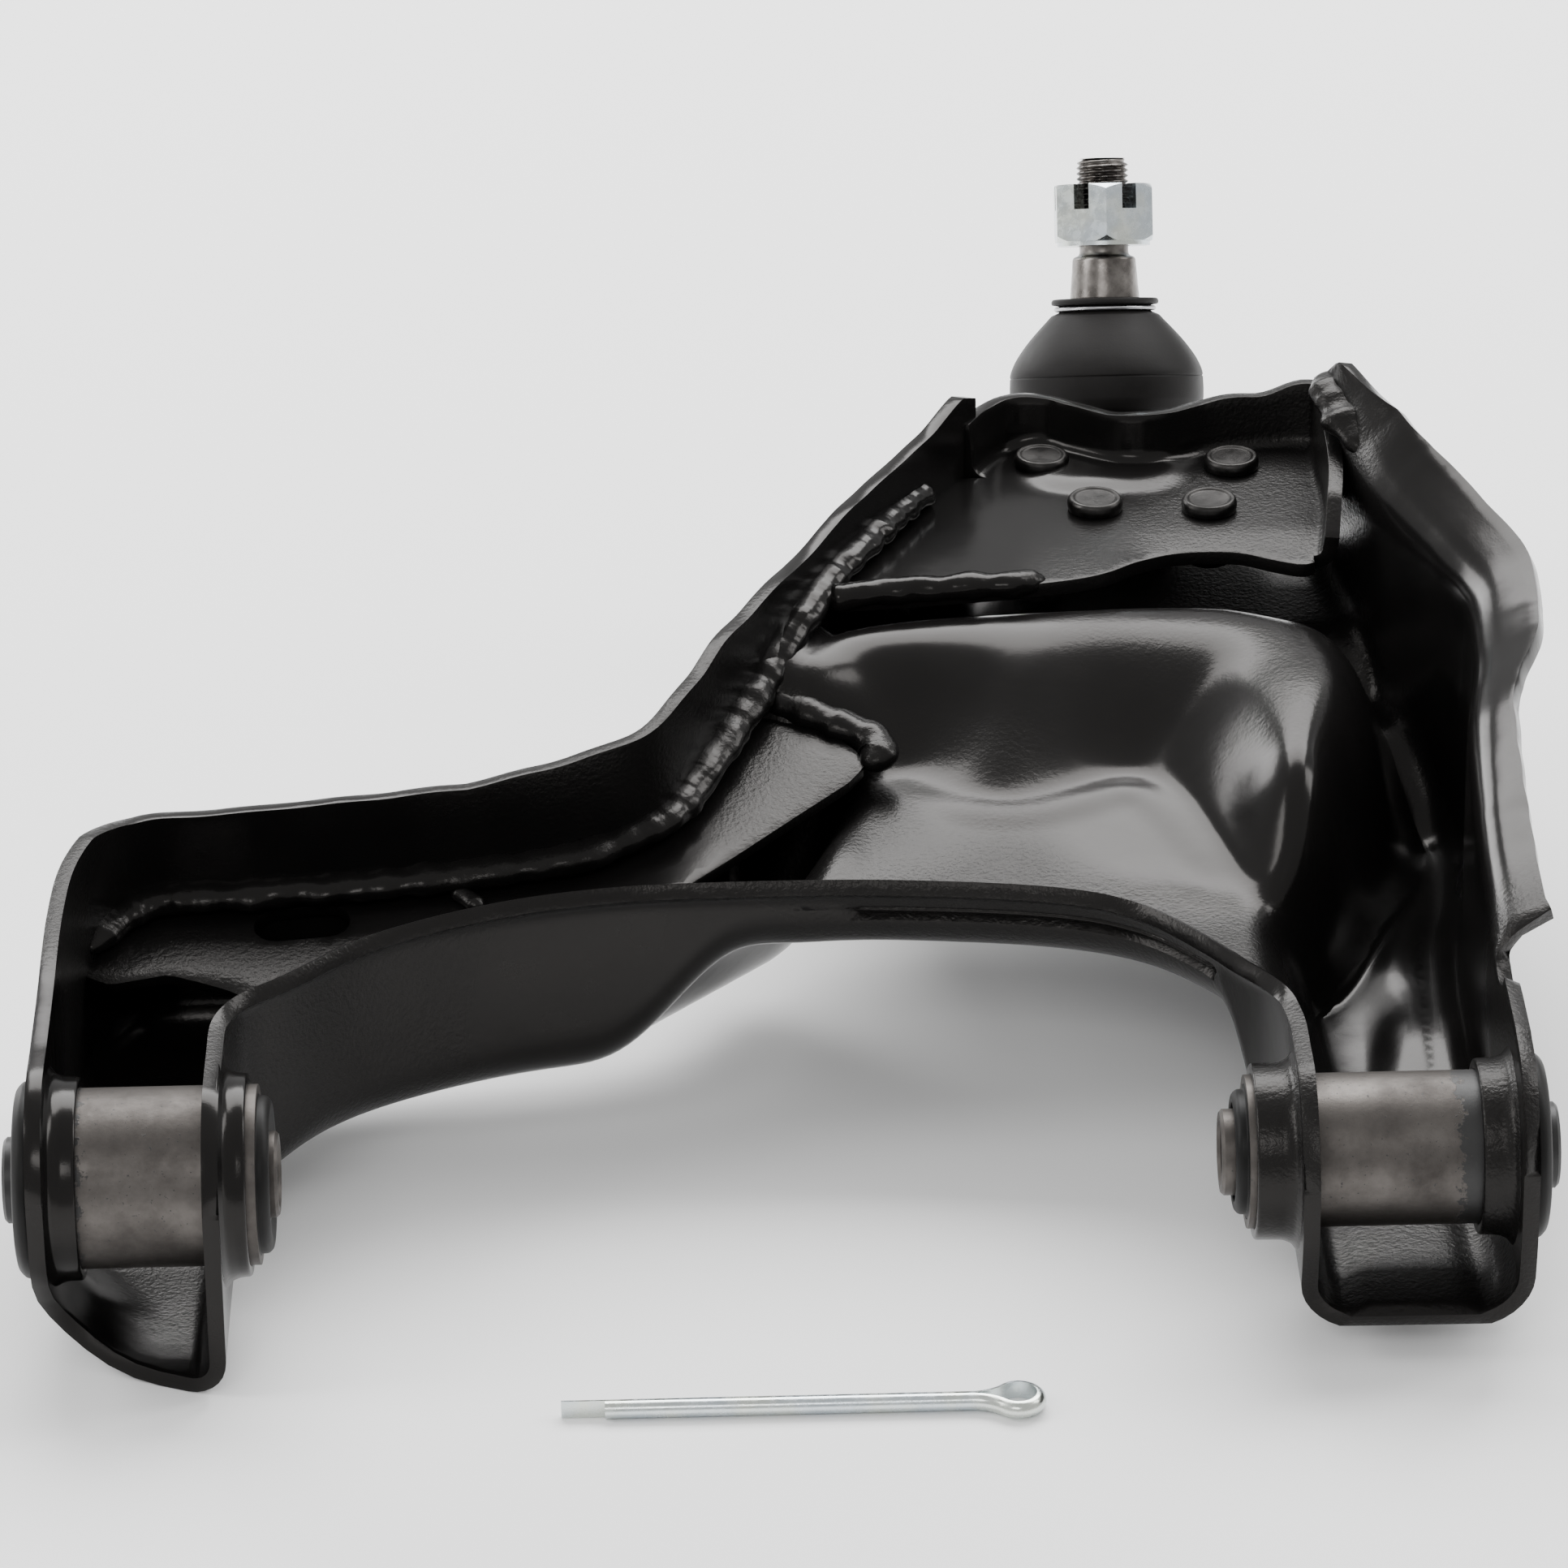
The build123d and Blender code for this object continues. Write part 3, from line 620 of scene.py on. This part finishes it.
def wall_strip(line, inward, radius, bend_z, reach, rise, bend=4.5):
    """Grid of points for a wall: a fillet off the floor, a straight rise, then a lip that leans
    outward by reach and up by rise from the bend."""
    count = len(line)
    radius, bend_z, reach, rise = (
        np.broadcast_to(np.asarray(v, float), (count,)) for v in (radius, bend_z, reach, rise)
    )
    base = line + inward * radius[:, None]
    floor = floor_height(base[:, 0], base[:, 1])
    rows = []

    def add_row(shift, z):
        rows.append(np.column_stack([line - inward * shift[:, None], z]))

    for angle in np.linspace(0, math.pi / 2, 8):
        add_row(radius * (math.sin(angle) - 1), floor + radius * (1 - math.cos(angle)))
    low = floor + radius
    length = np.hypot(reach, rise)
    bend = np.minimum(bend, 0.9 * length)
    high = bend_z - bend
    for t in np.linspace(0, 1, 11)[1:]:
        add_row(np.zeros(count), low + (high - low) * t)
    share = bend / np.maximum(length, 1e-6)
    for t in np.linspace(0, 1, 7)[1:]:
        add_row(
            t * t * reach * share,
            high * (1 - t) ** 2 + bend_z * 2 * t * (1 - t) + (bend_z + rise * share) * t * t,
        )
    for t in np.linspace(0, 1, 4)[1:]:
        lean = share + (1 - share) * t
        add_row(reach * lean, bend_z + rise * lean)
    return np.array(rows)


def along(value, knots):
    """Straight-line lookup in (value, result) pairs."""
    return np.interp(value, [k[0] for k in knots], [k[1] for k in knots])


def with_lobe(y, top, height, centre=-2.0, radius=22.5):
    """Wall top near the bush: a round lobe that runs into the leg's own top edge."""
    front = height - radius + radius * np.sqrt(np.clip(1 - ((y - centre) / radius) ** 2, 0, 1))
    return np.where(y < centre, np.minimum(front, top), top)


def build_main_shell():
    step = 1.8
    left, right, inner = (flowing(points, step) for points in (OUTER_LEFT, OUTER_RIGHT, INNER))

    left_y = left[:, 1]
    run = np.linspace(0, 1, len(left))
    left_top = along(run, [
        (0, 26), (0.08, 26), (0.14, 27), (0.22, 29), (0.26, 30.5), (0.285, 31), (0.32, 29.2),
        (0.42, 30.5), (0.50, 32), (0.56, 35.5), (0.61, 39), (0.67, 43), (0.76, 46), (0.86, 48.6),
        (0.95, 51.5), (0.985, 54), (1, 52),
    ])
    left_top = with_lobe(left_y, left_top, 26.0)
    left_top = left_top + ripple(left, 1.3, 16.0, 1) * smoothstep(run, 0.25, 0.35)
    left_radius = 9 + 13 * (1 - smoothstep(left_y, -4, 30)) * (run < 0.2)

    right_y = right[:, 1]
    bend_z = along(right_y, [
        (-24, 25), (12, 26), (19, 26), (21, 23), (27, 20.5), (33, 21.5), (36.5, 25), (38, 28),
        (43, 28.5), (77, 34), (113, 38), (164, 42.5), (212, 47), (232, 50), (240, 52), (250, 49),
    ])
    bend_z = with_lobe(right_y, bend_z, 25.0)
    reach = along(right_y, [
        (-24, 0.2), (36.5, 0.2), (38, 10.5), (43, 9.5), (74, 9), (90, 8.2), (117, 8.5), (135, 11.5),
        (150, 13), (168, 12.5), (186, 12), (205, 12), (220, 10), (229, 6), (239, 2.5), (250, 1),
    ])
    rise = along(right_y, [
        (-24, 0.6), (36.5, 0.6), (38, 2.5), (74, 2), (117, 4), (135, 4.5), (150, 5), (168, 7),
        (186, 8), (212, 10), (229, 10.5), (239, 11), (250, 5),
    ])
    reach = reach + ripple(right, 0.9, 12.0, 2) * smoothstep(right_y, 45, 60)

    inner_y = inner[:, 1]
    inner_top = with_lobe(inner_y, np.full(len(inner), 21.5), 22.0)
    roll = smoothstep(inner_y, 20, 42)
    inner_radius = along(inner[:, 0], [(-112, 6), (-90, 9), (90, 11), (103, 8)])
    strips = [
        wall_strip(left, -left_normals(left), left_radius, left_top - 0.8, 0.05, 0.8),
        wall_strip(right, -left_normals(right), 9.0, bend_z, reach, rise, 6.0),
        wall_strip(
            inner, -left_normals(inner), inner_radius, inner_top - 2.0 * roll, 0.1 + 4.4 * roll,
            0.6 + 1.6 * roll, 5.0,
        ),
    ]
    verts, faces = pressing(strips, floor_height, step)

    # the bracket floors end on a slant, furthest back at the left bracket's outer corner
    front = 1 - smoothstep(verts[:, 1], FRONT_Y, 14)
    low = 1 - smoothstep(verts[:, 2], -31, -4)
    slant = np.where(
        verts[:, 0] < 0, np.interp(verts[:, 0], [-BRACKET_X, -111], [13, -1.5]),
        np.interp(verts[:, 0], [102, 112, 136, BRACKET_X], [5, 2, 2, 4]),
    )
    verts[:, 1] += front * low * slant

    kept = []
    for face in faces:
        x, y, z = verts[list(face)].mean(axis=0)
        hole_r = LARGE_BORE_R - 0.4 if x < 0 else SMALL_BORE_R - 0.3
        if not (abs(x) > 90 and math.hypot(y, z) < hole_r):
            kept.append(face)
    shell = make_object("shell_pressing", verts, kept, "black_coat", "arm", ["main_shell"])
    thicken(shell, SHEET)


def about_x(r, angle, x):
    """A point round the pivot axis."""
    return (x, r * math.cos(angle), r * math.sin(angle))


def build_collars():
    """Extruded collars round the bush holes, flared where they leave the wall."""
    collars = (
        (LARGE_BORE_R, -BRACKET_X + 1.0, -136.8), (LARGE_BORE_R, INNER_LEFT_X + 1.0, -104.0),
        (SMALL_BORE_R, INNER_RIGHT_X - 1.0, 92.0), (SMALL_BORE_R, BRACKET_X - 1.0, 136.0),
    )
    rings = []
    for bore, root, tip in collars:
        away = math.copysign(1, tip - root)
        profile = [
            (bore, root), (bore + 5.2, root), (bore + 3.0, root + away * 1.6),
            (bore + 2.3, root + away * 3.4), (bore + 2.2, tip), (bore, tip),
        ]
        rings.append(lathe(eased(profile, 0.7, closed=True), about_x, 72))
    make_object("bush_collars", *merged(*rings), "black_coat", "arm", sharp=50)


# ---- plates ---------------------------------------------------------------------------
def leg_plate_height(_, y):
    """The plate rises outboard from its edge over the leg."""
    return 3.6 - SHEET / 2 + (y - 74) * math.tan(PLATE_TILT)


def slot_line(centre, length, width, turn):
    """A closed plan line round a slot with round ends."""
    half = (length - width) / 2
    points = []
    for side in (1, -1):
        for angle in np.linspace(-math.pi / 2, math.pi / 2, 9):
            x, y = side * (half + width / 2 * math.cos(angle)), side * width / 2 * math.sin(angle)
            points.append((
                centre[0] + x * math.cos(turn) - y * math.sin(turn),
                centre[1] + x * math.sin(turn) + y * math.cos(turn),
            ))
    return points


def build_leg_plate():
    edge = [
        (-142, 77), (-136, 74.5), (-124, 76.5), (-112, 73), (-103.5, 68), (-98, 60), (-88, 60),
        (-72, 70), (-40, 80), (-8, 108), (6, 121), (17, 131), (20.5, 136), (19.5, 141), (14, 147),
        (3, 158), (-3, 165), (-10, 160), (-24, 121), (-42, 110), (-60, 106.5), (-103, 101),
        (-127, 100), (-139, 91), (-142, 77),
    ]
    line = spaced(edge, 2.0)
    rise = 1.2 * smoothstep(line[:, 1], 78, 70) * smoothstep(line[:, 0], -100, -112)
    row = np.column_stack([line, leg_plate_height(line[:, 0], line[:, 1]) - rise])[None]
    hole = slot_line((-97, 91), 20, 9.5, math.radians(6))
    verts, faces = pressing([row], leg_plate_height, 2.5, [hole])
    verts = held_inside(verts, flowing(OUTER_LEFT, 1.0))
    plate = make_object("leg_plate_sheet", verts, faces, "black_coat", "arm", ["leg_plate"])
    thicken(plate, SHEET - 0.6, 0.6)


def joint_plate_height(x, y):
    """The plate is flat, but sags to its free near edge and swells behind the rivets."""
    z = PLATE_TOP - SHEET / 2 - 1.6 * smoothstep(y, 214, 196) * smoothstep(x, 74, 96)
    swell = box_distance(x, y, (78, 250), (16, 14), 10)
    return z + 1.5 * smoothstep(swell, 5, -3)


def build_joint_plate():
    far = flowing([
        (47, 244), (52, 254), (58, 259), (66, 258.5), (72, 254), (83, 247.5), (92, 249),
        (100, 254.5), (110, 257), (119, 258), (126, 257.5),
    ], 1.6)
    side = flowing([(126.8, 256.5), (127, 240), (127, 220), (124.6, 200)], 1.6)
    near = flowing([
        (121, 197.5), (118, 196.5), (112, 199), (104, 202.5), (92, 202.5), (83, 198), (75, 191),
        (66, 187.5), (50, 184.5), (30, 182), (16, 180.5),
    ], 2.0)
    left = spaced([(14, 182), (44, 242)], 2.0)

    def flange(line, inward, radius, top, lean):
        rows = []
        for angle in np.linspace(0, math.pi / 2, 7):
            xy = line + inward * (radius - radius * math.sin(angle))
            z = joint_plate_height(*(line + inward * radius).T) + radius * (1 - math.cos(angle))
            rows.append(np.column_stack([xy, z]))
        start = rows[-1][:, 2]
        for t in np.linspace(0, 1, 5)[1:]:
            rows.append(np.column_stack([line - inward * lean * t, start + (top - start) * t]))
        return np.array(rows)

    far_top = 47.2 + ripple(far, 1.2, 10.0, 3) + 2.5 * smoothstep(far[:, 0], 112, 124)
    side_top = along(side[:, 1], [(198, 37.5), (202, 40), (210, 45), (232, 49), (256, 52)])
    runs = [
        flange(far, -left_normals(far), 4.5, far_top, 1.0),
        flange(side, -left_normals(side), 3.5, side_top, 0.4),
        np.column_stack([near, joint_plate_height(*near.T)])[None],
        np.column_stack([left, joint_plate_height(*left.T)])[None],
    ]
    verts, faces = pressing(runs, joint_plate_height, 2.0)
    replaced = ["ball_joint_plate"]
    plate = make_object("joint_plate_sheet", verts, faces, "black_coat", "arm", replaced)
    thicken(plate, SHEET, 0.6)


# ---- weld beads -----------------------------------------------------------------------
def bead(path, half_width, half_height, seed, chevron):
    """A hand-laid weld bead: an uneven oval run with overlapping chevron ripples."""
    step, sides = 0.45, 20
    line = flowing(path, step)
    tangent = np.gradient(line, axis=0)
    tangent /= np.linalg.norm(tangent, axis=1)[:, None]
    up = np.array([0.0, 0.0, 1.0])
    side = np.cross(tangent, up)
    side /= np.linalg.norm(side, axis=1)[:, None]
    top = np.cross(side, tangent)
    count = len(line)
    rows = []
    for i in range(count):
        end = min(i, count - 1 - i) * step
        close = math.sqrt(min(1.0, (end + 0.15) / half_width))
        wander = noise.noise(Vector((i * step / 9, seed, 0)))
        swell = 1 + 0.22 * noise.noise(Vector((i * step / 5, seed, 4)))
        for j in range(sides):
            a = 2 * math.pi * j / sides
            phase = (i * step - 2.6 * chevron * abs(math.cos(a))) / 1.9 + 0.8 * wander
            scale_shape = (1 - (phase - math.floor(phase))) ** 0.7
            spot = Vector((i * step / 4.5, math.cos(a) * 1.1 + seed, math.sin(a) * 1.1))
            lump = noise.noise(spot)
            r = close * swell * (1 + 0.05 * scale_shape * max(0.0, math.sin(a)) + 0.10 * lump)
            rows.append(
                line[i] + side[i] * (wander * 0.9 + half_width * r * math.cos(a))
                + top[i] * half_height * r * math.sin(a)
            )
    faces = ring_faces(count, sides)
    for i in (0, count - 1):
        faces.append(tuple(i * sides + j for j in range(sides)))
    return np.array(rows), faces


WELDS = (
    ("outer_weld", 5.3, 3.2, 2, 1.0, [
        (-141, 80, 7.5), (-137, 89, 9), (-127, 95.5, 11), (-103, 97, 11.5), (-78, 99.5, 12),
        (-52, 103, 13), (-39, 106, 14), (-27, 112.5, 16), (-19, 121, 18), (-7, 145, 24.5),
        (0, 160, 29), (8, 176, 35), (18, 196, 38), (30, 219.5, 38.5), (37, 233, 38),
    ]),
    ("table_weld", 3.1, 2.9, 5, 1.0, [
        (13, 181, 35.5), (24, 183, 35.8), (40, 185, 35.6), (52, 187, 35.2), (62, 189, 34.6),
    ]),
    ("leg_plate_weld", 4.3, 3.2, 8, 1.0, [
        (-4, 164, 25), (1, 158, 23.8), (9, 153, 22.4), (16, 149, 21), (22, 145, 19.5),
        (24, 140, 18.4), (21, 136, 17.6),
    ]),
    ("corner_weld", 6.4, 3.0, 11, 1.6, [
        (127.5, 247, 57), (129, 241, 56), (131, 234, 54), (133, 227, 51.5), (134.5, 221, 49),
    ]),
    ("tack_weld", 2.0, 1.6, 14, 1.0, [(-66, 98, 10.5), (-63, 95.5, 9.8), (-60, 92, 9.0)]),
)


def build_welds():
    """Every bead replaces the CAD node of its own name; the tack weld has none."""
    for name, half_width, half_height, seed, chevron, path in WELDS:
        verts, faces = bead(path, half_width, half_height, seed, chevron)
        if name == "outer_weld":
            verts = held_inside(verts, flowing(OUTER_LEFT, 1.0))
        replaced = [name] if name in frame["nodes"] else []
        make_object(f"{name}_bead", verts, faces, "black_coat", "arm", replaced)


# ---- bushes ---------------------------------------------------------------------------
def build_bushes():
    """Bush rubbers: a ribbed flange outboard of the wall and a rounded nose at the inner end."""
    bushes = (
        ("large", -1, 146.0, 102.2, 15.9, 19.35, 15.5),
        ("small", 1, 146.0, 90.8, 13.3, 18.3, 12.3),
    )
    tube_r = 8.56
    for name, side, outer, inner, sleeve_r, flange_r, nose_r in bushes:
        profile = [
            (tube_r, outer + 2.8), (9.6, outer + 3.3), (12.0, outer + 2.5), (14.6, outer + 3.2),
            (flange_r - 1.6, outer + 3.4), (flange_r, outer + 1.9), (flange_r, outer + 0.05),
            (sleeve_r - 0.03, outer + 0.05), (sleeve_r - 0.03, inner - 0.05),
            (nose_r, inner - 0.1), (nose_r, inner - 1.6), (nose_r - 1.1, inner - 2.6),
            (nose_r - 2.6, inner - 2.5), (9.8, inner - 1.6), (tube_r, inner - 2.2),
        ]
        outline = eased(profile, 0.8, closed=True)
        ring = lathe(outline, lambda r, a, h, s=side: about_x(r, a, s * h), 80)
        replaced = [f"{name}_bush_rubber"]
        make_object(f"{name}_bush_moulding", *ring, "bush_rubber", "arm", replaced, sharp=60)


# ---- ball joint -----------------------------------------------------------------------
STUD = np.array([0.0, math.sin(LEAN), math.cos(LEAN)])
ACROSS = np.array([0.0, math.cos(LEAN), -math.sin(LEAN)])


def about_stud(r, angle, h):
    """A point round the stud's axis, at a height over the ball's centre."""
    return BALL + STUD * h + ACROSS * r * math.sin(angle) + np.array([r * math.cos(angle), 0, 0])


def build_stud():
    """Ball, taper, undercut neck and a cut thread, with a turned centre in the end."""
    ball_r, flat = 13.5, -12.0
    start = math.asin(flat / ball_r)
    stop = math.acos(6.6 / ball_r)
    body = [(0, flat)] + [
        (ball_r * math.cos(t), ball_r * math.sin(t)) for t in np.linspace(start, stop, 28)
    ]
    first, last = 50.9, 69.6
    shank = [
        body[-1], (6.6, 33), (8.0, 37.4), (7.28, 46.4), (7.0, 46.9), (5.9, 47.3), (5.65, 48),
        (5.65, 50.4), (5.3, first),
    ]
    body += eased(shank, 0.35)[1:]
    thread_r, pitch, depth, turns = 6.0, 1.25, 0.72, 64
    rows = int((last - first) / pitch * 12)
    thread = []
    for i in range(rows + 1):
        h = first + (last - first) * i / rows
        fade = min(1.0, (h - first) / 1.2)
        tip = 1.0 if h < last - 1.1 else 1 - (h - last + 1.1) * 0.16
        for j in range(turns):
            phase = (h / pitch - j / turns) % 1.0
            cut = abs(phase * 2 - 1)
            cut = min(1.0, max(0.0, cut * 1.25 - 0.12))
            r = (thread_r - depth * cut * fade) * tip
            thread.append(about_stud(r, 2 * math.pi * j / turns, h))
    centre = [(4.9, last), (4.6, last), (1.9, last - 0.05), (0.9, last - 1.2), (0, last - 1.5)]
    mesh = merged(
        lathe(body, about_stud, turns), (np.array(thread), ring_faces(rows + 1, turns)),
        lathe([(5.3, last), (4.9, last)], about_stud, turns), lathe(centre, about_stud, turns),
    )
    make_object("stud_turning", *mesh, "stud_steel", "stud", ["ball_stud"], sharp=38)


def build_boot():
    """Dust boot with a mould parting line, a folded lip under the taper and a spring clip."""
    skirt = [
        (19.0, 10.0), (20.6, 10.4), (21.7, 11.6), (22.35, 14.0), (22.4, 16.5), (22.3, 19.05),
        (22.05, 19.25),
    ]
    dome = [
        (22.3, 19.5), (22.0, 20.9), (20.9, 23.3), (19.1, 26.0), (17.1, 28.5), (15.1, 30.7),
        (13.3, 32.6), (12.5, 33.5),
    ]
    lip = [
        (10.6, 34.3), (10.3, 35.1), (10.6, 35.7), (12.3, 36.0), (12.4, 36.7), (12.1, 37.3),
        (9.6, 37.4), (8.1, 37.2), (8.1, 34.4),
    ]
    inside = [
        (11.0, 32.6), (13.8, 29.2), (17.6, 24.8), (20.0, 20.2), (20.5, 16), (19.4, 12.6),
        (18.4, 10.8),
    ]
    outline = [*skirt, *(tuple(p) for p in flowing(dome, 0.8)), *lip, *inside]
    mesh = lathe(eased(outline, 0.5, closed=True, parts=3), about_stud, 96)
    boot = make_object("boot_moulding", *mesh, "boot_rubber", None, ["dust_boot"], sharp=60)
    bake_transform(boot)

    ring_r, height, wire_r, gap, gap_turn = 11.25, 35.0, 0.55, 0.12, 1.2
    wire = [
        (ring_r + wire_r * math.cos(t), height + wire_r * math.sin(t))
        for t in np.linspace(0, 2 * math.pi, 13)
    ]
    clip = lathe(wire, lambda r, a, h: about_stud(r, a + gap_turn, h), 90, arc=2 * math.pi - gap)
    make_object("boot_clip_wire", *clip, "spring_steel", "boot_top", ["boot_clip_ring"])


def build_rivets():
    """Rivets with upset, barrel-sided heads and a shallow dish, not quite square to the plate."""
    turn = math.radians(-4)
    profile = eased([
        (0, 2.55), (4.4, 2.6), (4.9, 3.0), (5.5, 3.0), (6.0, 2.4), (6.2, 1.4), (6.0, 0.3),
        (5.8, 0.0), (4.0, 0.0), (4.0, -9.2), (6.0, -9.2), (6.0, -11.0), (4.8, -12.2), (0, -12.2),
    ], 0.35)
    rivets = []
    for inboard, half, middle in ((-48.3, 21.2, 6.6), (-71.1, 12.6, 10.2)):
        for side in (-1, 1):
            across = middle + side * half
            x = BALL[0] + across * math.cos(turn) - inboard * math.sin(turn)
            y = BALL[1] + across * math.sin(turn) + inboard * math.cos(turn)

            def place(r, a, h, x=x, y=y, tilt=0.012 * side):
                dx, dy = r * math.cos(a), r * math.sin(a)
                return (x + dx, y + dy, PLATE_TOP + h + tilt * dx)

            rivets.append(lathe(profile, place, 56))
    mesh = merged(*rivets)
    make_object("joint_rivets", *mesh, "rivet_steel", "arm", ["ball_joint_rivets"], sharp=60)


# ---- stage and lights -----------------------------------------------------------------
def build_stage():
    """A plain pale floor just under the lowest edge of the part."""
    data = bpy.data.meshes.new("floor")
    half, gap = 6.0, 0.0002
    z = GROUND * MM - gap
    corners = [(-half, -half, z), (half, -half, z), (half, half, z), (-half, half, z)]
    data.from_pydata(corners, [], [(0, 1, 2, 3)])
    r = Recipe("pale_floor")
    r.set(Roughness=0.9, Specular_IOR_Level=0.1)
    r.shader.inputs["Base Color"].default_value = (0.97, 0.97, 0.97, 1)
    data.materials.append(r.material)
    floor = bpy.data.objects.new("floor", data)
    bpy.context.collection.objects.link(floor)


# Soft lights: name, place, aim, size, watts. The big one behind gives the long highlights.
SOFTBOXES = (
    ("back_light", (0.15, 1.3, 1.5), (0, 0.1, 0), (2.0, 1.1), 70),
    ("left_back_light", (-1.25, 1.7, 0.55), (0.1, 0.1, 0), (0.9, 0.7), 18),
    ("left_light", (-1.5, 0.0, 0.95), (0, 0.1, 0), (0.5, 1.1), 13),
    ("right_light", (1.5, 0.5, 1.1), (0, 0.1, 0), (0.5, 1.1), 13),
    ("front_light", (-0.4, -1.7, 1.5), (0, 0.1, 0), (1.0, 0.5), 10),
)
WORLD_STRENGTH = 0.72


def build_lights():
    world = bpy.data.worlds.new("studio")
    bpy.context.scene.world = world
    world.use_nodes = True
    background = world.node_tree.nodes["Background"]
    background.inputs["Color"].default_value = (1, 1, 1, 1)
    background.inputs["Strength"].default_value = WORLD_STRENGTH
    for name, place, aim, size, watts in SOFTBOXES:
        data = bpy.data.lights.new(name, "AREA")
        data.shape = "RECTANGLE"
        data.size, data.size_y = size
        data.energy = watts
        lamp = bpy.data.objects.new(name, data)
        bpy.context.collection.objects.link(lamp)
        lamp.location = place
        towards = Vector(aim) - Vector(place)
        lamp.rotation_euler = towards.to_track_quat("-Z", "Y").to_euler()


# ---- CAD nodes ------------------------------------------------------------------------
# Width of the eased edges on the CAD nodes that stay in view.
EASED = {
    "castle_nut": 0.35, "ball_joint_housing": 1.4, "housing_cover": 0.4, "cotter_pin": 0.2,
    "large_bush_sleeve": 0.3, "small_bush_sleeve": 0.3,
}


def dress_nodes():
    """Give every CAD node its slot's material, and ease the edges that show."""
    slots = {s["node"]: s["material_slot"] for s in frame["record"]["subparts"]}
    for node, piece in frame["nodes"].items():
        piece.data.materials.clear()
        piece.data.materials.append(MATERIALS[slots[node]])
        if node in EASED:
            ease_edges(piece, EASED[node])


place_camera()
build_stage()
build_lights()
build_main_shell()
build_collars()
build_leg_plate()
build_joint_plate()
build_welds()
build_bushes()
build_stud()
build_boot()
build_rivets()
dress_nodes()
